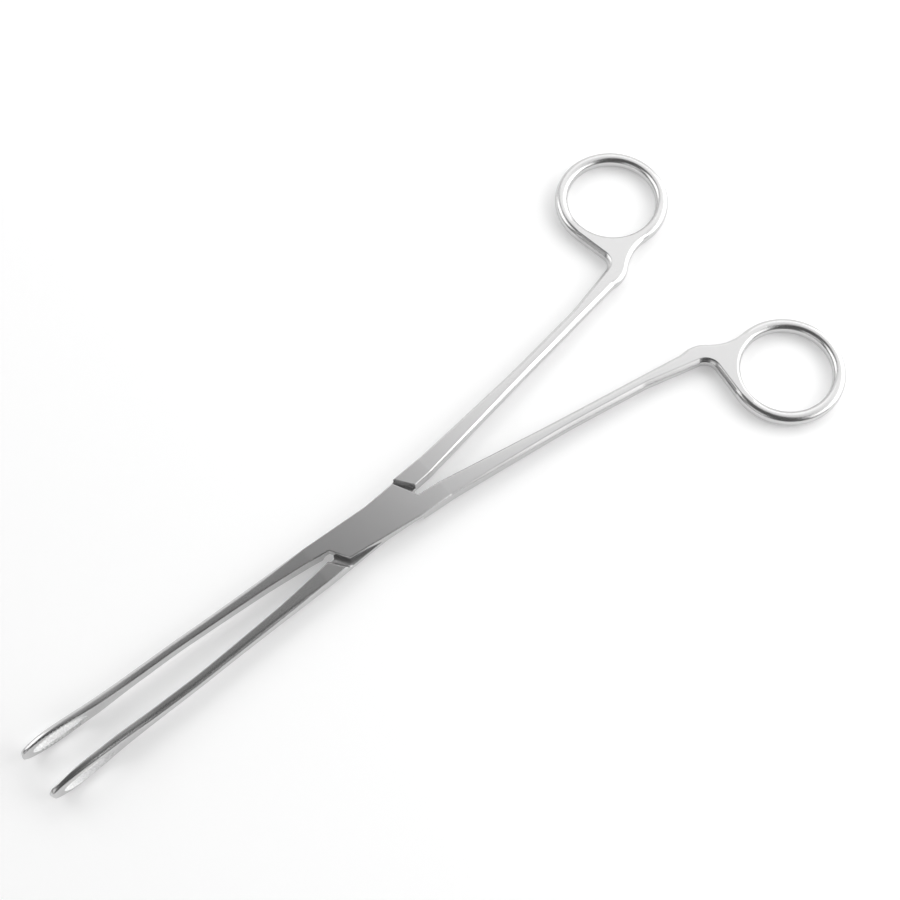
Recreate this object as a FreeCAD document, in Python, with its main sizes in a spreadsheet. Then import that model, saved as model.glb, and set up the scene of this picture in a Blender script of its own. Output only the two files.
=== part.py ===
import FreeCAD, Part
import math
import os

import Sketcher

Vector = FreeCAD.Vector

# Gallstone forceps with a lap joint: two forged halves turning on one screw.
# Both halves are the same forging, one of them turned over. A half is drawn
# closed, with X along the instrument towards the rings, its jaw on the -Y
# side, its ring on the +Y side and its lap on the lower side.

doc = FreeCAD.newDocument("GallstoneForceps")

# Driving dimensions in millimetres and degrees.
SIZES = [
    # Closed size: from the jaw's tip to the far side of the rings, across both
    # rings, and from the jaw's tip to the screw.
    ("overall_length", 209.75),
    ("closed_width", 80.3),
    ("jaw_length", 93.4),
    # How far the halves stand open as the part is drawn.
    ("opening_angle", 6.24),
    # How far forms run into each other, and cutters past what they cut.
    ("margin", 1.0),
    # Lock: the thick middle where the halves lap over each other.
    ("lock_thickness", 3.7),
    ("lap_clearance", 0.04),
    ("lock_start", -18.0),
    ("lock_end", 18.0),
    ("plate_corner_jaw_x", -9.85),
    ("plate_corner_jaw_y", 4.1),
    ("plate_inner_jaw_x", -12.7),
    ("plate_inner_jaw_y", -0.13),
    ("plate_corner_ring_x", 8.7),
    ("plate_corner_ring_y", -5.4),
    ("plate_inner_ring_x", 12.0),
    ("plate_inner_ring_y", 0.45),
    ("lock_flank", 4.4),
    ("heel_x", 9.3),
    ("heel_y", 5.1),
    # Shoulders: the walls at both ends of the lap.
    ("ring_shoulder_x", 13.26),
    ("jaw_shoulder_x", -14.5),
    ("shoulder_slant", 32.0),
    ("shoulder_hollow", 1.3),
    # Pivot screw.
    ("screw_radius", 1.6),
    ("screw_play", 0.03),
    ("thread_play", 0.01),
    ("head_radius", 2.7),
    ("head_rim", 0.25),
    ("head_inset", 0.05),
    ("slot_width", 0.6),
    ("slot_depth", 0.55),
    # Ring shank: a straight inner edge and a slightly curved outer one. Its
    # middle stations lie at shares of the way from the lock to the neck.
    ("shank_inner_start", 0.65),
    ("shank_start_width", 4.5),
    ("slim_share", 0.3),
    ("slim_width", 3.85),
    ("waist_share", 0.66),
    ("waist_width", 3.32),
    ("shank_end_width", 3.25),
    ("shank_thickness", 3.4),
    ("shank_bevel", 0.9),
    ("slim_bevel", 0.6),
    ("edge_break", 0.1),
    # Neck: the flat web between shank and ring, placed from the ring's centre.
    ("neck_length", 29.6),
    ("neck_inner_x", -17.6),
    ("neck_inner_y", -18.3),
    ("neck_inner_round", 8.0),
    ("throat_x", -10.9),
    ("throat_y", -16.8),
    ("throat_round", 17.0),
    ("inner_run_x", -2.6),
    ("inner_run_y", -13.9),
    ("neck_outer_x", -15.76),
    ("neck_outer_y", -13.62),
    ("neck_outer_round", 2.95),
    ("outer_run_x", -13.25),
    ("outer_run_y", -10.7),
    ("outer_run_round", 21.0),
    ("web_overlap", 0.7),
    ("inner_web_reach", 0.6),
    ("outer_web_reach", 0.9),
    ("inner_end", -73.0),
    ("outer_end", -188.0),
    # Finger ring.
    ("ring_radius", 12.6),
    ("wire_diameter", 3.3),
    # Jaw shank: flat inner side, rounded outer side. Its middle stations lie at
    # shares of the way from the lock to the spoon.
    ("jaw_root_inner", 0.6),
    ("jaw_root_width", 3.52),
    ("jaw_root_round", 0.2),
    ("jaw_quarter", 0.3),
    ("jaw_quarter_inner", 1.02),
    ("jaw_quarter_width", 2.8),
    ("jaw_quarter_height", 3.3),
    ("jaw_middle", 0.7),
    ("jaw_middle_inner", 1.02),
    ("jaw_middle_width", 2.3),
    ("jaw_middle_height", 2.9),
    ("jaw_round", 1.15),
    ("jaw_bevel", 0.35),
    # Spoon: the deep upright oval at the end of each jaw, placed from its tip.
    ("spoon_neck", 29.2),
    ("spoon_neck_inner", 0.62),
    ("spoon_neck_width", 2.2),
    ("spoon_neck_height", 3.3),
    ("spoon_flare", 17.2),
    ("spoon_flare_width", 2.05),
    ("spoon_flare_height", 5.4),
    ("spoon_middle", 6.7),
    ("spoon_width", 1.75),
    ("spoon_height", 7.2),
    ("spoon_tip_width", 1.15),
    ("spoon_tip_edge", 0.3),
    ("spoon_tip_radius", 2.7),
    ("bite_clearance", 0.06),
    ("grind_allowance", 0.12),
    ("window_start", 3.0),
    ("window_end", 15.8),
    ("window_height", 4.3),
    ("window_round", 1.2),
    ("window_nose", 2.0),
    ("window_bevel", 0.5),
    ("tooth_first", 4.6),
    ("tooth_pitch", 0.95),
    ("tooth_depth", 0.22),
    ("tooth_count", 11),
]


def write_sheet():
    sheet = doc.addObject("Spreadsheet::Sheet", "Dims")
    for row, (name, number) in enumerate(SIZES, start=1):
        sheet.set("A%d" % row, name)
        sheet.set("B%d" % row, str(number))
        sheet.setAlias("B%d" % row, name)
    doc.recompute()
    return sheet


sheet = write_sheet()

# Sides of the ring's wire, enough to look round, and how near two points count
# as the same place.
WIRE_SIDES = 16
SAME_PLACE = 0.001

# Places worked out from the driving dimensions: the ring's centre, the end of
# the shank, and the stations of the jaw, all from the screw.
RING_X = "($overall_length - $jaw_length - $ring_radius - $wire_diameter / 2)"
RING_Y = "($closed_width / 2 - $ring_radius - $wire_diameter / 2)"
SHANK_END = "(%s - $neck_length)" % RING_X
TIP = "(0 - $jaw_length)"
SPOON_NECK = "($spoon_neck - $jaw_length)"
SPOON_FLARE = "($spoon_flare - $jaw_length)"
SPOON_MIDDLE = "($spoon_middle - $jaw_length)"


def bind(thing, prop, text):
    """Ties one property to the sheet."""
    thing.setExpression(prop, text.replace("$", "Dims."))


def number(text):
    """The value that an expression of the sheet has now."""
    return float(sheet.evalExpression(text.replace("$", "")))


def new_sketch(body, name, role, base=("0", "0", "0"), turn=None, axis=Vector(0, 1, 0)):
    """A sketch on one of the body's own planes, moved and turned by the sheet."""
    sketch = body.newObject("Sketcher::SketchObject", name)
    plane = [item for item in body.Origin.OriginFeatures if item.Role == role][0]
    sketch.AttachmentSupport = (plane, "")
    sketch.MapMode = "FlatFace"
    if turn is not None:
        rotation = FreeCAD.Rotation(axis, number(turn))
        sketch.AttachmentOffset = FreeCAD.Placement(Vector(), rotation)
        bind(sketch, "AttachmentOffset.Rotation.Angle", turn)
    for letter, text in zip("xyz", base):
        bind(sketch, "AttachmentOffset.Base.%s" % letter, text)
    return sketch


def tie_point(sketch, index, end, x, y):
    """Gives one end of a curve its place from the sheet."""
    for kind, text in (("DistanceX", x), ("DistanceY", y)):
        rule = Sketcher.Constraint(kind, -1, 1, index, end, number(text))
        bind(sketch, "Constraints[%d]" % sketch.addConstraint(rule), text)


def add_arc(sketch, start, end, radius):
    """An arc from start to end; a negative radius puts its centre on the right."""
    middle = (start + end) * 0.5
    chord = end - start
    side = Vector(-chord.y, chord.x, 0).normalize()
    reach = math.sqrt(max(radius ** 2 - (chord.Length / 2) ** 2, 0.0))
    centre = middle + side * math.copysign(reach, radius)
    first, last = (start, end) if radius > 0 else (end, start)
    angle_1 = math.atan2(first.y - centre.y, first.x - centre.x)
    angle_2 = math.atan2(last.y - centre.y, last.x - centre.x)
    circle = Part.Circle(centre, Vector(0, 0, 1), abs(radius))
    index = sketch.addGeometry(Part.ArcOfCircle(circle, angle_1, angle_2))
    return index, (1, 2) if radius > 0 else (2, 1)


def draw(sketch, corners):
    """A closed outline. Each corner is x, y and, where an arc leaves it, a radius."""
    places = [Vector(number(item[0]), number(item[1]), 0) for item in corners]
    curves = []
    for step, item in enumerate(corners):
        start = places[step]
        end = places[(step + 1) % len(places)]
        if len(item) == 3:
            curves.append(add_arc(sketch, start, end, number(item[2])))
        else:
            index = sketch.addGeometry(Part.LineSegment(start, end))
            curves.append((index, (1, 2)))
    for step, item in enumerate(corners):
        index, ends = curves[step]
        before, before_ends = curves[step - 1]
        rule = Sketcher.Constraint("Coincident", before, before_ends[1], index, ends[0])
        sketch.addConstraint(rule)
        tie_point(sketch, index, ends[0], item[0], item[1])
        if len(item) == 3:
            rule = Sketcher.Constraint("Radius", index, abs(number(item[2])))
            bind(sketch, "Constraints[%d]" % sketch.addConstraint(rule),
                 "abs(%s)" % item[2])
    return sketch


def bevelled_section(body, name, x, width, height, bevel):
    """An eight-sided section of the shank, from its inner side outwards."""
    sketch = new_sketch(body, name, "YZ_Plane", (shank_inner(x), "0", x))
    top = "(%s) / 2" % height
    edge = "((%s) / 2 - %s)" % (height, bevel)
    far = "%s - %s" % (width, bevel)
    return draw(sketch, [
        ("0", "-" + edge), (bevel, "-" + top), (far, "-" + top), (width, "-" + edge),
        (width, edge), (far, top), (bevel, top), ("0", edge),
    ])


def rounded_section(body, name, x, y, width, height, bevel, radius):
    """A section with a flat inner side and a rounded outer side, drawn towards -Y."""
    sketch = new_sketch(body, name, "YZ_Plane", ("0 - (%s)" % y, "0", x), "180")
    top = "(%s) / 2" % height
    edge = "((%s) / 2 - (%s))" % (height, bevel)
    turn = "((%s) / 2 - (%s))" % (height, radius)
    far = "(%s) - (%s)" % (width, radius)
    return draw(sketch, [
        ("0", "-" + edge), (bevel, "-" + top), (far, "-" + top, radius),
        (width, "-" + turn), (width, turn, radius), (far, top), (bevel, top),
        ("0", edge),
    ])


def loft(body, name, sections):
    """One smooth solid through a row of sections."""
    feature = body.newObject("PartDesign::AdditiveLoft", name)
    feature.Profile = sections[0]
    feature.Sections = sections[1:]
    feature.Ruled = False
    for sketch in sections:
        sketch.Visibility = False
    return feature


def cut(body, name, sketch):
    """A pocket through everything, both ways."""
    before = measure(body)
    feature = body.newObject("PartDesign::Pocket", name)
    feature.Profile = sketch
    feature.Type = "ThroughAll"
    feature.Midplane = True
    must_shrink(body, before, name)
    return feature


def half_way(curve):
    """The point half-way along a curve of a sketch."""
    return curve.value((curve.FirstParameter + curve.LastParameter) / 2)


def edges_over(feature, sketch, curves, height):
    """Names of a feature's edges that lie this far above curves of a sketch."""
    doc.recompute()
    place = sketch.Placement
    lift = place.Rotation.multVec(Vector(0, 0, height))
    spots = [place.multVec(half_way(sketch.Geometry[index])) + lift for index in curves]
    names = []
    for index, edge in enumerate(feature.Shape.Edges, start=1):
        centre = edge.valueAt((edge.FirstParameter + edge.LastParameter) / 2)
        if any(centre.distanceToPoint(spot) < SAME_PLACE for spot in spots):
            names.append("Edge%d" % index)
    if len(names) != len(spots):
        raise RuntimeError("%s: %d of %d edges" % (feature.Name, len(names), len(spots)))
    return names


def bevel_edges(body, name, base, edges, size):
    feature = body.newObject("PartDesign::Chamfer", name)
    feature.Base = (base, edges)
    bind(feature, "Size", size)
    return feature


def measure(body):
    doc.recompute()
    return body.Shape.Volume


def must_shrink(body, before, name):
    if measure(body) >= before:
        raise RuntimeError(name + " cuts nothing")


def add_lock(body):
    """The flat middle of a half, still at full thickness."""
    sketch = new_sketch(body, "LockOutline", "XY_Plane")
    draw(sketch, [
        ("$lock_start", "0 - $jaw_root_inner"),
        ("$lock_start", "0 - $jaw_root_inner - $jaw_root_width"),
        ("0", "0 - $lock_flank"),
        ("$plate_corner_ring_x", "$plate_corner_ring_y"),
        ("$plate_inner_ring_x", "$plate_inner_ring_y"),
        ("$lock_end", "$shank_inner_start"),
        ("$lock_end", "$shank_inner_start + $shank_start_width"),
        ("$heel_x", "$heel_y"),
        ("$plate_corner_jaw_x", "$plate_corner_jaw_y"),
        ("$plate_inner_jaw_x", "$plate_inner_jaw_y"),
    ])
    lock = body.newObject("PartDesign::Pad", "Lock")
    lock.Profile = sketch
    lock.Midplane = True
    bind(lock, "Length", "$lock_thickness")


def shank_inner(x):
    """The straight line from the lock to the inner side of the neck."""
    rise = "(%s + $neck_inner_y - $shank_inner_start)" % RING_Y
    run = "(%s + $neck_inner_x - $lock_end)" % RING_X
    return "($shank_inner_start + (%s - $lock_end) * %s / %s)" % (x, rise, run)


def add_neck(body):
    """The flat web from the shank into the ring, bevelled along both sides."""
    def spot(name):
        return "%s + $%s_x" % (RING_X, name), "%s + $%s_y" % (RING_Y, name)

    def polar(radius, angle):
        return ("%s + %s * cos(%s * 1 deg)" % (RING_X, radius, angle),
                "%s + %s * sin(%s * 1 deg)" % (RING_Y, radius, angle))

    hole = "($ring_radius - $web_overlap)"
    inner = shank_inner(SHANK_END)
    sketch = new_sketch(body, "NeckOutline", "XY_Plane")
    draw(sketch, [
        (SHANK_END, inner),
        (*spot("neck_inner"), "$neck_inner_round"),
        (*spot("throat"), "0 - $throat_round"),
        spot("inner_run"),
        polar("($ring_radius + $inner_web_reach)", "$inner_end"),
        (*polar(hole, "$inner_end"), "0 - " + hole),
        polar(hole, "$outer_end"),
        (*polar("($ring_radius + $outer_web_reach)", "$outer_end"), "$outer_run_round"),
        (*spot("outer_run"), "0 - $neck_outer_round"),
        spot("neck_outer"),
        (SHANK_END, inner + " + $shank_end_width"),
    ])
    neck = body.newObject("PartDesign::Pad", "Neck")
    neck.Profile = sketch
    neck.Midplane = True
    bind(neck, "Length", "$shank_thickness")
    sides = (0, 1, 2, 3, 7, 8, 9)
    top = number("$shank_thickness / 2")
    names = edges_over(neck, sketch, sides, top) + edges_over(neck, sketch, sides, -top)
    bevel_edges(body, "NeckBevel", neck, names, "$shank_bevel")


def add_ring_shank(body):
    """The shank, from the lock to the neck."""
    run = "(%s - $lock_end)" % SHANK_END
    rows = [
        ("ShankStart", "($lock_end - $margin)", "$shank_start_width", "$lock_thickness",
         "$edge_break"),
        ("ShankSlim", "($lock_end + $slim_share * %s)" % run, "$slim_width",
         "($lock_thickness + $shank_thickness) / 2", "$slim_bevel"),
        ("ShankWaist", "($lock_end + $waist_share * %s)" % run, "$waist_width",
         "$shank_thickness", "$shank_bevel"),
        ("ShankEnd", SHANK_END, "$shank_end_width", "$shank_thickness",
         "$shank_bevel"),
    ]
    loft(body, "RingShank", [bevelled_section(body, *row) for row in rows])


def add_ring(body):
    """The finger ring: a round wire, drawn with many sides, turned about its centre."""
    section = new_sketch(body, "WireSection", "XZ_Plane",
                         (RING_X, "0", "0 - " + RING_Y))
    corners = []
    for side in range(WIRE_SIDES):
        angle = "%s * 1 deg" % (360 * side / WIRE_SIDES)
        corners.append(("$ring_radius + $wire_diameter / 2 * cos(%s)" % angle,
                        "$wire_diameter / 2 * sin(%s)" % angle))
    draw(section, corners)
    ring = body.newObject("PartDesign::Revolution", "Ring")
    ring.Profile = section
    ring.ReferenceAxis = (section, ["V_Axis"])
    ring.Angle = 360


def add_jaw(body):
    """Jaw shank and the outside of the spoon, up to the uncut tip.

    The spoon is forged a little over size on its inner side, to be ground flat.
    """
    rim = "$bite_clearance / 2 - $grind_allowance"
    run = "(%s - $lock_start)" % SPOON_NECK
    rows = [
        ("JawRoot", "$lock_start + $margin", "$jaw_root_inner", "$jaw_root_width",
         "$lock_thickness", "$edge_break", "$jaw_root_round"),
        ("JawQuarter", "$lock_start + $jaw_quarter * %s" % run, "$jaw_quarter_inner",
         "$jaw_quarter_width", "$jaw_quarter_height", "$jaw_bevel", "$jaw_round"),
        ("JawMiddle", "$lock_start + $jaw_middle * %s" % run, "$jaw_middle_inner",
         "$jaw_middle_width", "$jaw_middle_height", "$jaw_bevel", "$jaw_round"),
        ("SpoonNeck", SPOON_NECK, "$spoon_neck_inner", "$spoon_neck_width",
         "$spoon_neck_height", "$jaw_bevel", "$jaw_round"),
        ("SpoonFlare", SPOON_FLARE, rim, "$spoon_flare_width + $grind_allowance",
         "$spoon_flare_height", "$jaw_bevel", "$jaw_round"),
        ("SpoonMiddle", SPOON_MIDDLE, rim, "$spoon_width + $grind_allowance",
         "$spoon_height", "$jaw_bevel", "$jaw_round"),
        ("SpoonTip", TIP, rim, "$spoon_tip_width + $grind_allowance",
         "$spoon_height", "$jaw_bevel", "$spoon_tip_width - $spoon_tip_edge"),
    ]
    sections = [rounded_section(body, *row) for row in rows]
    loft(body, "JawShank", sections[:4])
    loft(body, "Spoon", sections[3:])


def turn_away(body, name, sketch, axis):
    """Turns an outline about an axis of its sketch and takes it away."""
    before = measure(body)
    feature = body.newObject("PartDesign::Groove", name)
    feature.Profile = sketch
    feature.ReferenceAxis = (sketch, [axis])
    feature.Angle = 360
    must_shrink(body, before, name)


def round_tip(body):
    """Rounds the tip of the spoon about the line where the rims meet.

    A small arc at the tip runs into a large one that ends at full height.
    """
    tall, small = "($spoon_height / 2)", "$spoon_tip_radius"
    run = "($spoon_middle - %s)" % small
    large = "((%s ^ 2 + %s ^ 2 - %s ^ 2) / (2 * (%s - %s)))" % (
        run, tall, small, tall, small)
    share = "(%s / (%s - %s))" % (small, large, small)
    clear = "($spoon_height + $margin)"
    sketch = new_sketch(body, "TipOutline", "XY_Plane")
    draw(sketch, [
        (TIP, "0", "0 - %s" % small),
        ("%s + %s - %s * %s" % (TIP, small, share, run),
         "%s * (%s - %s)" % (share, large, tall), "0 - %s" % large),
        (SPOON_MIDDLE, tall), (SPOON_MIDDLE, clear),
        (TIP + " - $margin", clear), (TIP + " - $margin", "0"),
    ])
    turn_away(body, "TipRound", sketch, "H_Axis")


def grind_rim(body):
    """Grinds the inner side of the spoon to the plane where the rims meet."""
    sketch = new_sketch(body, "RimOutline", "XY_Plane")
    draw(sketch, [
        (TIP + " - $margin", "0 - $bite_clearance / 2"),
        (SPOON_NECK, "0 - $bite_clearance / 2"),
        (SPOON_NECK, "$spoon_height"),
        (TIP + " - $margin", "$spoon_height"),
    ])
    cut(body, "RimGrind", sketch)


def cut_window(body):
    """The long oval window through the spoon, bevelled wide on the inner side."""
    sketch = new_sketch(body, "WindowOutline", "XZ_Plane")
    start, end = TIP + " + $window_start", TIP + " + $window_end"
    top = "($window_height / 2)"
    low = "(%s - $window_round)" % top
    far = "(%s - $window_nose)" % top
    draw(sketch, [
        (start + " + $window_nose", "0 - %s" % top),
        (end + " - $window_round", "0 - %s" % top, "$window_round"),
        (end, "0 - %s" % low),
        (end, low, "$window_round"),
        (end + " - $window_round", top),
        (start + " + $window_nose", top, "$window_nose"),
        (start, far),
        (start, "0 - %s" % far, "$window_nose"),
    ])
    window = cut(body, "Window", sketch)
    edges = edges_over(window, sketch, range(8), number("$bite_clearance / 2"))
    bevel_edges(body, "WindowBevel", window, edges, "$window_bevel")


def cut_teeth(body):
    """A row of upright notches across both rims of the spoon."""
    deep = "($tooth_depth + $bite_clearance / 2)"
    first = TIP + " + $tooth_first"
    sketch = new_sketch(body, "ToothOutline", "XY_Plane")
    draw(sketch, [
        (first, "0 - %s" % deep),
        (first + " + %s" % deep, "0"),
        (first + " - %s" % deep, "0"),
    ])
    notch = cut(body, "Tooth", sketch)
    before = measure(body)
    row = body.newObject("PartDesign::LinearPattern", "Teeth")
    row.Originals = [notch]
    row.Direction = (sketch, ["H_Axis"])
    bind(row, "Length", "$tooth_pitch * ($tooth_count - 1)")
    bind(row, "Occurrences", "$tooth_count")
    body.Tip = row
    must_shrink(body, before, "Teeth")


def cut_lap(body):
    """Takes the upper side away between the two slanted shoulders.

    The ring shoulder is a plain wall, the jaw shoulder runs out in a hollow.
    """
    floor = "0 - $lap_clearance / 2"
    across = "cos($shoulder_slant * 1 deg)"
    ring_wall = "$ring_shoulder_x * %s" % across
    jaw_wall = "$jaw_shoulder_x * %s" % across
    sketch = new_sketch(body, "LapOutline", "XZ_Plane", turn="$shoulder_slant")
    draw(sketch, [
        (ring_wall, floor), (ring_wall, "$lock_thickness"),
        (jaw_wall, "$lock_thickness"),
        (jaw_wall, "%s + $shoulder_hollow" % floor, "$shoulder_hollow"),
        ("%s + $shoulder_hollow" % jaw_wall, floor),
    ])
    cut(body, "Lap", sketch)


def bore(body, play, countersunk):
    """The bore for the screw, with the seat of its head where it has one."""
    low, high = "0 - $lock_thickness", "$lock_thickness"
    hole = "$screw_radius + %s" % play
    corners = [("0", low), (hole, low), (hole, high), ("0", high)]
    if countersunk:
        corners[1:2] = [
            ("$head_radius + %s" % play, low),
            ("$head_radius + %s" % play, HEAD_EDGE),
            (hole, HEAD_NECK),
        ]
    sketch = new_sketch(body, "BoreOutline", "XZ_Plane")
    draw(sketch, corners)
    turn_away(body, "Bore", sketch, "V_Axis")


# Heights of the screw's head: its face, the edge of its rim, and its neck.
HEAD_FACE = "0 - $lock_thickness / 2 + $head_inset"
HEAD_EDGE = HEAD_FACE + " + $head_rim"
HEAD_NECK = HEAD_EDGE + " + $head_radius - $screw_radius"


def forge_half(name, play, countersunk):
    """One half, drawn closed with its lap on the lower side."""
    body = doc.addObject("PartDesign::Body", name)
    body.Label = name
    add_neck(body)
    add_ring_shank(body)
    add_ring(body)
    add_lock(body)
    add_jaw(body)
    round_tip(body)
    grind_rim(body)
    cut_window(body)
    cut_teeth(body)
    cut_lap(body)
    bore(body, play, countersunk)
    return body


def make_screw():
    """The pivot screw: slotted head below, end ground flush above."""
    body = doc.addObject("PartDesign::Body", "pivot_screw")
    body.Label = "pivot_screw"
    sketch = new_sketch(body, "ScrewOutline", "XZ_Plane")
    draw(sketch, [
        ("0", HEAD_FACE), ("$head_radius", HEAD_FACE), ("$head_radius", HEAD_EDGE),
        ("$screw_radius", HEAD_NECK), ("$screw_radius", "$lock_thickness / 2"),
        ("0", "$lock_thickness / 2"),
    ])
    turned = body.newObject("PartDesign::Revolution", "Screw")
    turned.Profile = sketch
    turned.ReferenceAxis = (sketch, ["V_Axis"])
    turned.Angle = 360
    slot = new_sketch(body, "SlotOutline", "XZ_Plane")
    side = "$slot_width / 2"
    draw(slot, [
        ("0 - %s" % side, "0 - $lock_thickness"), (side, "0 - $lock_thickness"),
        (side, HEAD_FACE + " + $slot_depth"),
        ("0 - %s" % side, HEAD_FACE + " + $slot_depth"),
    ])
    cut(body, "Slot", slot)
    return body


# The screw's place along the part, whose box is centred when the halves stand open.
HALF_OPEN = "($opening_angle / 2 * 1 deg)"
RING_REACH = "(%s * cos(%s) - %s * sin(%s) + $ring_radius + $wire_diameter / 2)" % (
    RING_X, HALF_OPEN, RING_Y, HALF_OPEN)
SCREW_X = "(($jaw_length * cos(%s) - %s) / 2)" % (HALF_OPEN, RING_REACH)


def place(body, turn, turned_over=False):
    """Swings a piece about the screw and lifts the spoons' lower rims to zero."""
    spin = "rotation(vector(0; 0; 1); %s)" % turn
    if turned_over:
        spin += " * rotation(vector(1; 0; 0); 180)"
    base = "vector(%s; 0; $spoon_height / 2)" % SCREW_X
    bind(body, "Placement", "placement(%s; %s)" % (base, spin))


def check_and_write(bodies):
    doc.recompute()
    for item in doc.Objects:
        if "Invalid" in item.State or "Error" in item.State:
            raise RuntimeError("%s is %s" % (item.Name, item.State))
    os.makedirs("parts", exist_ok=True)
    for body in bodies:
        shape = body.Shape
        if shape.isNull() or not shape.isValid() or len(shape.Solids) != 1:
            raise RuntimeError(body.Label + " is not one sound solid")
        shape.exportStep("parts/%s.step" % body.Label)


def main():
    upper = forge_half("upper_half", "$thread_play", False)
    lower = forge_half("lower_half", "$screw_play", True)
    screw = make_screw()
    place(upper, "0 - $opening_angle / 2", turned_over=True)
    place(lower, "$opening_angle / 2")
    place(screw, "0 - $opening_angle / 2")
    check_and_write([upper, lower, screw])


main()
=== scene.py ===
import bmesh
import bpy
import math
from mathutils import Euler, Matrix, Vector


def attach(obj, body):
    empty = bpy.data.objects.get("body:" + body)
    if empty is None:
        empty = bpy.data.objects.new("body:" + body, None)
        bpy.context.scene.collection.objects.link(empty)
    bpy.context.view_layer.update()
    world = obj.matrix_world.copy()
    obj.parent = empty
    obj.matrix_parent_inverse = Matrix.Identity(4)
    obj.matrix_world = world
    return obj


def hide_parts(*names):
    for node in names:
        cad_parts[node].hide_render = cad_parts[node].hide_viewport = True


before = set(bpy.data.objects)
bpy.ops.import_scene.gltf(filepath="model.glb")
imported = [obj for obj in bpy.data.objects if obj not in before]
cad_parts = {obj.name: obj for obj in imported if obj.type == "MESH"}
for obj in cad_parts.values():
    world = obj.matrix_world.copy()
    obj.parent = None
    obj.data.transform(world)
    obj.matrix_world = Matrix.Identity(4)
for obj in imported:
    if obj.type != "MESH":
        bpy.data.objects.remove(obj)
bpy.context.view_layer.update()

# The screw's axis, and the height of the middle of the forged halves.
PIVOT = Vector((-0.01076, 0.0, 0.0036))


def new_material(name):
    """A material with only its shader, and the node tree to add to."""
    material = bpy.data.materials.new(name)
    material.use_nodes = True
    tree = material.node_tree
    shader = tree.nodes["Principled BSDF"]
    return material, tree, shader


def add(tree, kind, **values):
    """One node, with its properties or inputs set by name."""
    node = tree.nodes.new(kind)
    for key, value in values.items():
        if hasattr(node, key):
            setattr(node, key, value)
        else:
            node.inputs[key.replace("_", " ")].default_value = value
    return node


def noise(tree, coordinates, scale, detail=3.0, stretch=(1, 1, 1)):
    """Noise in object space, stretched along the axes."""
    mapping = add(tree, "ShaderNodeMapping")
    mapping.inputs["Scale"].default_value = stretch
    tree.links.new(coordinates, mapping.inputs["Vector"])
    texture = add(tree, "ShaderNodeTexNoise", Scale=scale, Detail=detail)
    tree.links.new(mapping.outputs["Vector"], texture.inputs["Vector"])
    return texture.outputs["Fac"]


def spread(tree, value, low, high, start=0.3, end=0.7):
    """Maps a noise value to a range."""
    node = add(tree, "ShaderNodeMapRange")
    node.inputs["From Min"].default_value = start
    node.inputs["From Max"].default_value = end
    node.inputs["To Min"].default_value = low
    node.inputs["To Max"].default_value = high
    tree.links.new(value, node.inputs["Value"])
    return node.outputs["Result"]


def mix_colours(tree, factor, first, second):
    """A blend of two colours by a value."""
    node = add(tree, "ShaderNodeMix")
    node.data_type = "RGBA"
    node.inputs["A"].default_value = first
    node.inputs["B"].default_value = second
    tree.links.new(factor, node.inputs["Factor"])
    return node.outputs["Result"]


def combine(tree, operation, first, second):
    """A sum or product of two values; each is a socket or a number."""
    node = add(tree, "ShaderNodeMath", operation=operation)
    for socket, value in zip(node.inputs, (first, second)):
        if isinstance(value, (int, float)):
            socket.default_value = value
        else:
            tree.links.new(value, socket)
    return node.outputs["Value"]


def satin_steel(name):
    """Stainless steel with the fine, even grain of a satin finish."""
    material, tree, shader = new_material(name)
    place = add(tree, "ShaderNodeTexCoord").outputs["Object"]
    lines = noise(tree, place, 5000.0, 2.0, (0.08, 1.0, 1.0))
    tree.links.new(mix_colours(tree, spread(tree, lines, 0.0, 1.0),
                               (0.625, 0.622, 0.623, 1), (0.64, 0.637, 0.638, 1)),
                   shader.inputs["Base Color"])
    tree.links.new(spread(tree, lines, 0.262, 0.268), shader.inputs["Roughness"])

    # Edges are a little soft, but not round the end of the screw, which is ground flush.
    middle = add(tree, "ShaderNodeVectorMath", operation="DISTANCE")
    tree.links.new(place, middle.inputs[0])
    middle.inputs[1].default_value = PIVOT + Vector((0.0, 0.0, 0.00185))
    edge = add(tree, "ShaderNodeBevel")
    edge.samples = 8
    tree.links.new(spread(tree, middle.outputs["Value"], 0.0, 0.00012, 0.0021, 0.0025),
                   edge.inputs["Radius"])
    tree.links.new(edge.outputs["Normal"], shader.inputs["Normal"])
    shader.inputs["Metallic"].default_value = 1.0
    return material


def blasted_steel_painted_highlight(name):
    """The bare, blasted grain of the windows' walls, in roughness and bumps; their colour,
    far paler than the satin finish and speckled paler still, is a painted highlight with
    painted glints.
    """
    material, tree, shader = new_material(name)
    place = add(tree, "ShaderNodeTexCoord").outputs["Object"]
    grain_and_painted_glint = spread(tree, noise(tree, place, 3200.0, 2.0), 0.0, 1.0, 0.35, 0.65)
    # Painted highlight: the walls are coloured far paler than steel, and the paler specks
    # are painted glints.
    tree.links.new(mix_colours(tree, grain_and_painted_glint, (0.80, 0.80, 0.80, 1), (0.98, 0.98, 0.98, 1)),
                   shader.inputs["Base Color"])
    tree.links.new(spread(tree, grain_and_painted_glint, 0.55, 0.68, 0.0, 1.0), shader.inputs["Roughness"])
    grain = add(tree, "ShaderNodeBump", Strength=0.5, Distance=0.00008)
    tree.links.new(grain_and_painted_glint, grain.inputs["Height"])
    tree.links.new(grain.outputs["Normal"], shader.inputs["Normal"])
    shader.inputs["Metallic"].default_value = 1.0
    return material


steel = satin_steel("satin_steel")
# The windows' steel has a pale colour that is a painted highlight.
window_steel_painted_highlight = blasted_steel_painted_highlight("blasted_steel_painted_highlight")
# The nodes are replaced by smoother pieces below, in the same steel.
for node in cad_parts.values():
    node.data.materials.clear()
    node.data.materials.append(steel)


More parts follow.
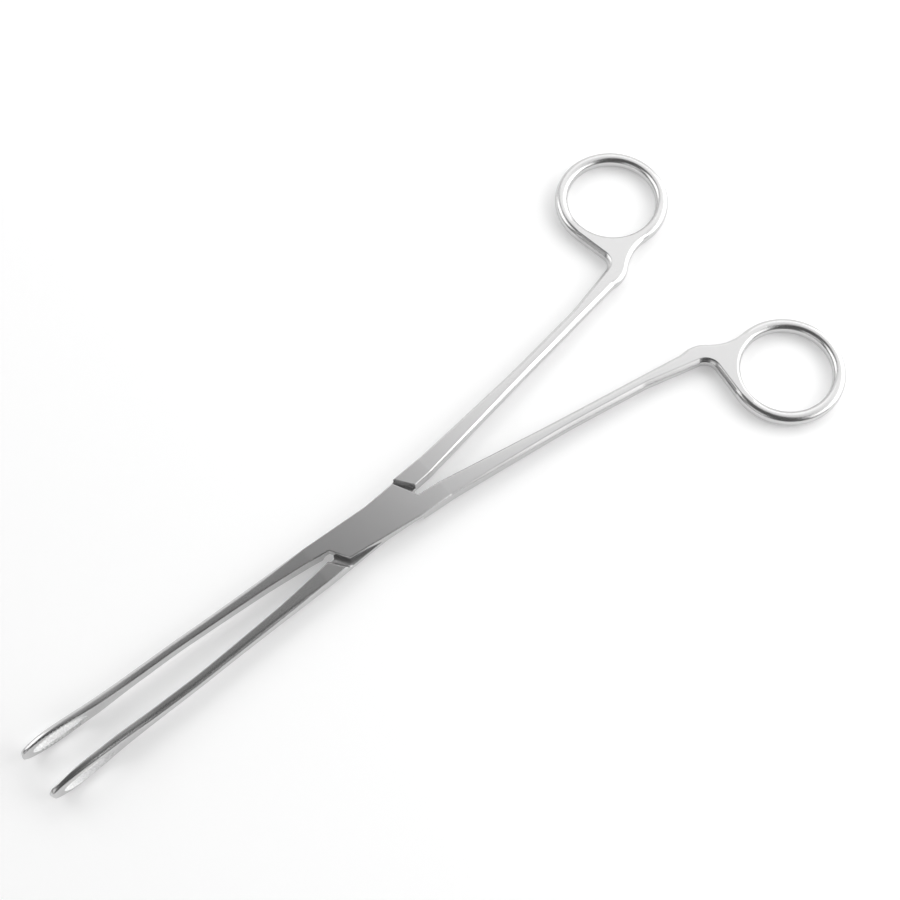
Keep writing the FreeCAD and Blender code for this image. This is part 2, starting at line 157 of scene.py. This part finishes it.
# The forged half in millimetres, closed, as its CAD solid is drawn, from the screw:
# the middle of the ring, where the shank meets the neck, and the jaw's tip.
RING = Vector((102.1, 25.9))
SHANK_START, SHANK_END = 17.0, 72.5
JAW_ROOT, JAW_TIP = -17.0, -93.4
# Half the heights of the lock, the neck, and the ring, and half the ring's width.
LOCK_HALF, NECK_HALF, RING_HALF, WIRE_HALF = 1.85, 1.7, 1.715, 1.62
RING_RADIUS = 12.6
# Points round the ring and round its wire, and how far the wire is from an ellipse.
RING_POINTS, WIRE_POINTS, WIRE_POWER = 144, 28, 0.87
# The plane where the spoons' rims meet, and the clearance in the lap.
RIM, LAP = -0.03, 0.05
# The teeth: how many, the first one's distance from the tip, their pitch and depth.
TEETH, FIRST_TOOTH, PITCH, DEPTH = 11, 4.6, 0.95, 0.22
# The lap's shoulders: how far along the half each crosses the middle line, their
# slant, the hollow at the foot of the jaw's one and where its chamfer starts.
RING_SHOULDER, JAW_SHOULDER, SLANT = 13.26, -14.5, math.radians(32)
HOLLOW, CHAMFER_FOOT, CHAMFER_RUN, ABOVE = 1.3, 1.45, 2.55, 4.0
# The screw: radii of its shaft and head, the heights where the head's cone starts and
# ends, the underside of the head, and its slot. Bores are a little wider, the upper
# half's least, since the screw is fast in it.
SHAFT, HEAD, CONE_LOW, CONE_HIGH, UNDERSIDE = 1.6, 2.7, -1.55, -0.45, -1.8
SLOT_HALF, SLOT_TOP, TIGHT, LOOSE = 0.3, -1.25, 0.003, 0.03
# Ring shank: place, width, half height and bevel.
SHANK = [(17.0, 4.5, 1.85, 0.25), (34.35, 3.85, 1.775, 0.6), (53.97, 3.32, 1.7, 0.9),
         (72.5, 3.25, 1.7, 0.9)]
# Jaw: place, inner side, width, half height, inner and outer rounding.
JAW = [(-93.4, 0.03, 1.30, 3.6, 0.35, 0.85), (-86.7, 0.03, 1.75, 3.6, 0.35, 1.15),
       (-76.2, 0.03, 2.05, 2.7, 0.35, 1.15), (-64.2, 0.45, 2.25, 1.7, 0.35, 1.15),
       (-50.34, 0.95, 2.35, 1.5, 0.35, 1.15), (-31.86, 1.02, 2.8, 1.65, 0.3, 1.1),
       (-17.0, 0.6, 3.52, 1.85, 0.12, 0.3)]
# A bevel with soft ends: how far in and how far down, for a bevel of 1.
BEVEL = [(1.25, 0.0), (1.02, 0.06), (0.80, 0.22), (0.22, 0.80), (0.06, 1.02), (0.0, 1.25)]


def smooth(rows, place, column):
    """The value of a column at a place, on a curve through the rows with no overshoot."""
    places = [row[0] for row in rows]
    values = [row[column] for row in rows]
    steps = [(values[i + 1] - values[i]) / (places[i + 1] - places[i])
             for i in range(len(rows) - 1)]
    slopes = [steps[0]]
    for before, after in zip(steps, steps[1:]):
        slopes.append(2 * before * after / (before + after) if before * after > 0 else 0.0)
    slopes.append(steps[-1])
    index = 0
    while index < len(steps) - 1 and place > places[index + 1]:
        index += 1
    span = places[index + 1] - places[index]
    t = (place - places[index]) / span
    return ((1 + 2 * t) * (1 - t) ** 2 * values[index]
            + t * (1 - t) ** 2 * span * slopes[index]
            + t * t * (3 - 2 * t) * values[index + 1]
            + t * t * (t - 1) * span * slopes[index + 1])


def arc(start, end, radius, steps=14):
    """Points of an arc without its end. A negative radius puts the centre on the right."""
    start, end = Vector(start), Vector(end)
    chord = end - start
    side = Vector((-chord.y, chord.x)).normalized()
    reach = math.sqrt(radius ** 2 - (chord.length / 2) ** 2)
    centre = (start + end) / 2 + side * math.copysign(reach, radius)
    first = math.atan2(*(start - centre).yx)
    last = math.atan2(*(end - centre).yx)
    if radius > 0 and last < first:
        last += 2 * math.pi
    if radius < 0 and last > first:
        last -= 2 * math.pi
    return [centre + abs(radius) * Vector((math.cos(angle), math.sin(angle)))
            for angle in (first + (last - first) * i / steps for i in range(steps))]


def polar(radius, angle):
    """A point from the ring's middle, at an angle in degrees."""
    angle = math.radians(angle)
    return RING + radius * Vector((math.cos(angle), math.sin(angle)))


def new_solid(points, faces):
    """An object with a closed mesh whose faces all look outwards."""
    mesh = bpy.data.meshes.new("solid")
    mesh.materials.append(steel)
    mesh.from_pydata([tuple(point) for point in points], [], faces)
    shell = bmesh.new()
    shell.from_mesh(mesh)
    bmesh.ops.recalc_face_normals(shell, faces=shell.faces)
    shell.to_mesh(mesh)
    shell.free()
    piece = bpy.data.objects.new("solid", mesh)
    bpy.context.scene.collection.objects.link(piece)
    return piece


def skin(rows, ring=False):
    """Faces round a stack of closed rows of points, capped unless it runs round a ring."""
    count, size = len(rows), len(rows[0])
    faces = []
    for level in range(count if ring else count - 1):
        low, high = level * size, (level + 1) % count * size
        for i in range(size):
            j = (i + 1) % size
            faces.append((low + i, low + j, high + j, high + i))
    if not ring:
        faces.append(tuple(range(size)))
        faces.append(tuple(range((count - 1) * size, count * size)))
    return faces


def loft(rows, ring=False):
    """A solid through a stack of closed rows of points."""
    return new_solid([point for row in rows for point in row], skin(rows, ring))


def plate(outline, strip=0):
    """A plate with bevelled sides, from an outline drawn anticlockwise.

    Each point is x, y, half the height there and the bevel. The first and the last
    points face each other along a strip of this many points.
    """
    places = [Vector(point[:2]) for point in outline]
    count = len(places)
    inward = []
    for i in range(count):
        before = (places[i] - places[i - 1]).normalized()
        after = (places[(i + 1) % count] - places[i]).normalized()
        left, right = Vector((-before.y, before.x)), Vector((-after.y, after.x))
        inward.append((left + right) / (1 + left.dot(right)))
    rows = []
    for side, profile in ((1, BEVEL), (-1, BEVEL[::-1])):
        for reach, drop in profile:
            rows.append([
                (*(place + push * bevel * reach), side * (half - bevel * drop))
                for place, push, (_, _, half, bevel) in zip(places, inward, outline)])
    faces = skin(rows)[:-2]
    for base in (0, (len(rows) - 1) * count):
        for i in range(strip - 1):
            faces.append((base + i, base + i + 1,
                          base + count - 2 - i, base + count - 1 - i))
        first, last = max(strip - 1, 0), count - max(strip, 1)
        faces.append(tuple(range(base + first, base + last + 1)))
    return new_solid([point for row in rows for point in row], faces)


def shank_and_neck():
    """The shank and the flat web that runs into the ring."""
    def shank_inner(x):
        return 0.65 + (x - 18.0) * 6.95 / 66.5

    places = [SHANK_START + (SHANK_END - SHANK_START) * i / 40 for i in range(41)]
    rows = [(x, *(smooth(SHANK, x, column) for column in (1, 2, 3))) for x in places]
    inner = [(x, shank_inner(x), half, bevel) for x, width, half, bevel in rows]
    outer = [(x, shank_inner(x) + width, half, bevel)
             for x, width, half, bevel in reversed(rows)]
    web = arc(RING + Vector((-17.6, -18.3)), RING + Vector((-10.9, -16.8)), 8.0)
    web += arc(RING + Vector((-10.9, -16.8)), polar(14.2, -97), -12.04)
    web += [polar(14.2, -97), polar(13.9, -88), polar(13.5, -80)]
    side = [(*point, NECK_HALF, 0.9) for point in web]
    side.append((*polar(13.2, -73), NECK_HALF, 0.3))
    hole = [(*polar(11.9, -73 - 115 * i / 50), NECK_HALF, 0.04) for i in range(51)]
    back = [(*polar(13.2, -195), NECK_HALF, 0.3)]
    run = [polar(13.6, -188), polar(13.95, -181), polar(14.15, -174.5)]
    run += arc(RING + Vector((-13.26, -10.42)), RING + Vector((-15.76, -13.62)), -2.95)
    run += [RING + Vector((-15.76, -13.62))]
    back += [(*point, NECK_HALF, 0.9) for point in run]
    return plate(inner + side + hole + back + outer, strip=41)


def finger_ring():
    """The ring, an oval wire a little flattened on top and below."""
    def power(value):
        return math.copysign(abs(value) ** WIRE_POWER, value)

    rows = []
    for i in range(RING_POINTS):
        place = 2 * math.pi * i / RING_POINTS
        out = Vector((math.cos(place), math.sin(place)))
        row = []
        for k in range(WIRE_POINTS):
            turn = 2 * math.pi * k / WIRE_POINTS
            flat = RING + out * (RING_RADIUS + WIRE_HALF * power(math.cos(turn)))
            row.append((*flat, RING_HALF * power(math.sin(turn))))
        rows.append(row)
    return loft(rows, ring=True)


def lock():
    """The thick middle of the half before its lap is cut."""
    corners = [(-18, -0.6), (-18, -4.12), (0, -4.4), (8.7, -5.4), (12.0, 0.45),
               (18, 0.65), (18, 5.15), (9.3, 5.1), (-9.85, 4.1), (-12.7, -0.13)]
    return plate([(*corner, LOCK_HALF, 0.2) for corner in corners])


def tip_reach(x):
    """How far from its middle line the spoon reaches near its tip."""
    if x < -91.856:
        return math.sqrt(max(2.7 ** 2 - (x + 90.7) ** 2, 0.0))
    return 3.6 - 12.04 + math.sqrt(12.04 ** 2 - (x + 86.7) ** 2)


def jaw_section(x):
    """A section with a flat inner side and a rounded outer side, towards -Y."""
    inner, width, half, small, large = (smooth(JAW, x, column) for column in range(1, 6))
    if x < -86.7:
        reach = tip_reach(x)
        half = min(half, reach)
        width = min(width, reach * 0.85)
    large = min(large, width * 0.75, half * 0.9)
    small = min(small, width * 0.22, half * 0.3)
    upper = []
    for radius, middle, start, steps in ((small, inner + small, 180, 5),
                                         (large, inner + width - large, 90, 9)):
        for k in range(steps):
            turn = math.radians(start - 90 * k / (steps - 1))
            upper.append((middle + radius * math.cos(turn),
                          half - radius + radius * math.sin(turn)))
    return ([(x, -out, z) for out, z in upper]
            + [(x, -out, -z) for out, z in reversed(upper)])


def jaw():
    """The jaw shank and the outside of the spoon."""
    ends = [JAW_TIP + 0.002 + 2.7 * (1 - math.cos(math.pi / 2 * i / 14)) for i in range(15)]
    rest = [ends[-1] + (JAW_ROOT - ends[-1]) * i / 90 for i in range(1, 91)]
    return loft([jaw_section(x) for x in ends + rest])


def apply(piece, other, operation):
    """Joins another solid to the piece, or cuts with it, and drops the other."""
    modifier = piece.modifiers.new("step", "BOOLEAN")
    modifier.operation = operation
    modifier.solver = "EXACT"
    modifier.material_mode = "TRANSFER"
    modifier.object = other
    graph = bpy.context.evaluated_depsgraph_get()
    mesh = bpy.data.meshes.new_from_object(piece.evaluated_get(graph))
    piece.modifiers.clear()
    piece.data = mesh
    bpy.data.objects.remove(other)


def window_cutter():
    """The long oval window, wider towards both faces of the spoon."""
    middle, length, height = -84.0, 6.4, 2.3
    rows = []
    for y, grow in ((0.7, 1.1), (RIM, 0.45), (-0.5, 0.0), (-1.4, 0.0), (-3.0, 0.5)):
        rows.append([(middle + (length + grow) * math.cos(turn), y,
                      (height + grow * 0.8) * math.sin(turn))
                     for turn in (2 * math.pi * k / 48 for k in range(48))])
    cutter = loft(rows)
    # The window's walls take the pale steel, whose colour is a painted highlight.
    cutter.data.materials[0] = window_steel_painted_highlight
    return cutter


def teeth_cutter():
    """Upright notches across the rims."""
    points, faces = [], []
    for k in range(TEETH):
        x, base = JAW_TIP + FIRST_TOOTH + PITCH * k, len(points)
        for z in (-5.0, 5.0):
            points += [(x, RIM - DEPTH, z), (x + 2 * DEPTH, RIM + DEPTH, z),
                       (x - 2 * DEPTH, RIM + DEPTH, z)]
        faces += [(base, base + 2, base + 1), (base + 3, base + 4, base + 5)]
        for i in range(3):
            j = (i + 1) % 3
            faces.append((base + i, base + j, base + 3 + j, base + 3 + i))
    return new_solid(points, faces)


def lap_cutter():
    """All above the middle between the two slanted shoulders, one of them hollowed."""
    ring_wall, jaw_wall = RING_SHOULDER * math.cos(SLANT), JAW_SHOULDER * math.cos(SLANT)
    profile = [(ring_wall, -LAP), (ring_wall, ABOVE), (jaw_wall - CHAMFER_RUN, ABOVE),
               (jaw_wall, CHAMFER_FOOT)]
    for k in range(9):
        turn = math.pi / 2 * k / 8
        profile.append((jaw_wall + HOLLOW * (1 - math.cos(turn)),
                        -LAP + HOLLOW * (1 - math.sin(turn))))
    along = Vector((math.cos(SLANT), math.sin(SLANT)))
    across = Vector((-along.y, along.x))
    return loft([[(*(along * u + across * v), z) for u, z in profile] for v in (-20, 20)])


def turned(profile, steps=64):
    """A solid turned about the screw's axis, from radii and heights."""
    return loft([[(radius * math.cos(turn), radius * math.sin(turn), height)
                  for turn in (2 * math.pi * k / steps for k in range(steps))]
                 for radius, height in profile])


def forged_half(bore):
    """One half, whole."""
    half = shank_and_neck()
    for other in (finger_ring(), lock(), jaw()):
        apply(half, other, "UNION")
    for cutter in (window_cutter(), teeth_cutter(), lap_cutter(), turned(bore)):
        apply(half, cutter, "DIFFERENCE")
    return half


def dress(half, name, node, body, turn):
    """Puts a piece in the place of its CAD node."""
    half.name = name
    half.data.transform(Matrix.Translation(PIVOT) @ turn @ Matrix.Scale(0.001, 4))
    half.data.shade_smooth()
    half.data.set_sharp_from_angle(angle=math.radians(30))
    normals = half.modifiers.new("normals", "WEIGHTED_NORMAL")
    normals.keep_sharp = True
    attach(half, body)
    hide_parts(node)


def screw():
    """The pivot screw: slotted head below, end ground flush above."""
    body = turned([(HEAD, UNDERSIDE), (HEAD, CONE_LOW), (SHAFT, CONE_HIGH),
                   (SHAFT, LOCK_HALF)])
    slot = [(-SLOT_HALF, -3.0), (SLOT_HALF, -3.0), (SLOT_HALF, SLOT_TOP),
            (-SLOT_HALF, SLOT_TOP)]
    apply(body, loft([[(x, y, z) for x, z in slot] for y in (-4.0, 4.0)]), "DIFFERENCE")
    return body


# Each half is turned by half the angle at which the forceps stands open.
OPEN = math.radians(6.24 / 2)
OVER = Matrix.Rotation(math.pi, 4, "X")
tight_bore = [(SHAFT + TIGHT, -3.0), (SHAFT + TIGHT, 3.0)]
loose_bore = [(HEAD + LOOSE, -3.0), (HEAD + LOOSE, CONE_LOW), (SHAFT + LOOSE, CONE_HIGH),
              (SHAFT + LOOSE, 3.0)]
dress(forged_half(tight_bore), "upper_forging", "upper_half", "upper",
      Matrix.Rotation(-OPEN, 4, "Z") @ OVER)
dress(forged_half(loose_bore), "lower_forging", "lower_half", "lower",
      Matrix.Rotation(OPEN, 4, "Z"))
dress(screw(), "screw", "pivot_screw", "upper", Matrix.Rotation(-OPEN, 4, "Z"))


# How much the paper is lifted close to the instrument and far away.
PAPER_NEAR, PAPER_FAR = 0.21, 0.8


def make_floor():
    """A pale table that touches the spoons and the rings from below."""
    spoon = Vector((-0.099, 0.0, 0.0))
    ring = Vector((0.0896, 0.0, 0.00188))
    slope = math.atan2(ring.z - spoon.z, ring.x - spoon.x)
    bpy.ops.mesh.primitive_plane_add(size=6.0)
    floor = bpy.context.object
    floor.name = "table"
    floor.rotation_euler = Euler((0.0, -slope, 0.0))
    floor.location = spoon - Vector((0, 0, 0.00002))
    material, tree, shader = new_material("table_paper")
    place = add(tree, "ShaderNodeTexCoord").outputs["Object"]
    tone = noise(tree, place, 3.0, 2.0)
    tree.links.new(mix_colours(tree, spread(tree, tone, 0.0, 1.0),
                               (0.90, 0.90, 0.90, 1), (0.93, 0.93, 0.93, 1)),
                   shader.inputs["Base Color"])
    shader.inputs["Roughness"].default_value = 0.9
    shader.inputs["Specular IOR Level"].default_value = 0.1
    # Seen directly or mirrored, the paper is lifted to white as in the photograph,
    # the more so far from the instrument; it lights nothing.
    away = add(tree, "ShaderNodeVectorMath", operation="LENGTH")
    tree.links.new(place, away.inputs[0])
    lift = spread(tree, away.outputs["Value"], PAPER_NEAR, PAPER_FAR, 0.15, 0.9)
    path = add(tree, "ShaderNodeLightPath")
    seen = combine(tree, "MAXIMUM", path.outputs["Is Camera Ray"],
                   path.outputs["Is Glossy Ray"])
    shader.inputs["Emission Color"].default_value = (1.0, 1.0, 1.0, 1.0)
    tree.links.new(combine(tree, "MULTIPLY", seen, lift),
                   shader.inputs["Emission Strength"])
    floor.data.materials.append(material)


make_floor()


def area_light(name, place, aim, size, radiance):
    """A soft panel. Its power is worked out from how bright its face looks."""
    data = bpy.data.lights.new(name, "AREA")
    data.shape = "RECTANGLE"
    data.size, data.size_y = size
    data.energy = radiance * math.pi * size[0] * size[1]
    lamp = bpy.data.objects.new(name, data)
    lamp.location = place
    direction = Vector(aim) - Vector(place)
    lamp.rotation_euler = direction.to_track_quat("-Z", "Y").to_euler()
    bpy.context.scene.collection.objects.link(lamp)
    return lamp


# The high panel stands behind the rings, so flat faces near them mirror it and
# those of the jaws don't.
area_light("high_panel", (0.49, 0.20, 0.50), (0.49, 0.20, 0.0), (0.68, 1.0), 0.90)
area_light("right_panel", (0.85, -0.30, 0.35), (0.05, 0.0, 0.0), (1.3, 0.9), 1.8)
area_light("near_panel", (0.51, -0.50, 0.34), (0.51, 0.0, 0.10), (0.82, 0.45), 1.6)
area_light("side_panel", (-0.75, -0.10, 0.34), (0.05, 0.0, 0.05), (0.6, 0.4), 0.9)
area_light("left_panel", (-0.50, 0.80, 0.70), (0.0, 0.0, 0.0), (0.9, 0.8), 1.8)


def make_sky():
    """A dim room: darker on the photographer's side than behind the instrument."""
    world = bpy.data.worlds.new("studio")
    bpy.context.scene.world = world
    world.use_nodes = True
    tree = world.node_tree
    toward = add(tree, "ShaderNodeVectorMath", operation="DOT_PRODUCT")
    tree.links.new(add(tree, "ShaderNodeTexCoord").outputs["Generated"],
                   toward.inputs[0])
    toward.inputs[1].default_value = AWAY
    shade = spread(tree, toward.outputs["Value"], SKY_NEAR, SKY_FAR, -0.2, 0.7)
    tree.links.new(shade, tree.nodes["Background"].inputs["Strength"])
    tree.nodes["Background"].inputs["Color"].default_value = (1.0, 1.0, 1.0, 1.0)


# The level direction away from the photographer, and the room's brightness there
# and behind the photographer.
AWAY = (0.631, 0.776, -0.5)
SKY_NEAR, SKY_FAR = 0.10, 0.95
make_sky()


def set_camera():
    """The photograph's view: turned, raised and rolled, then set back from the screw."""
    raised, turned, rolled = math.radians(64.18), math.radians(39.11), math.radians(-0.374)
    right, down, distance = -0.01716, 0.01703, 0.4132
    turn = Matrix.Rotation(turned, 3, "Z")
    tilt = Matrix(((1, 0, 0),
                   (0, -math.sin(raised), -math.cos(raised)),
                   (0, math.cos(raised), -math.sin(raised))))
    roll = Matrix.Rotation(rolled, 3, "Z")
    seen = roll @ tilt @ turn
    data = bpy.data.cameras.new("camera")
    data.sensor_width = 36.0
    data.lens = 36.0 * 1798.2 / 900.0
    camera = bpy.data.objects.new("camera", data)
    place = PIVOT - seen.transposed() @ Vector((right, down, distance))
    axes = Matrix((seen[0], -seen[1], -seen[2])).transposed()
    camera.matrix_world = Matrix.Translation(place) @ axes.to_4x4()
    data.clip_start, data.clip_end = 0.01, 20.0
    bpy.context.scene.collection.objects.link(camera)
    bpy.context.scene.camera = camera


set_camera()

bpy.context.scene.view_settings.view_transform = "Standard"

bpy.context.view_layer.update()
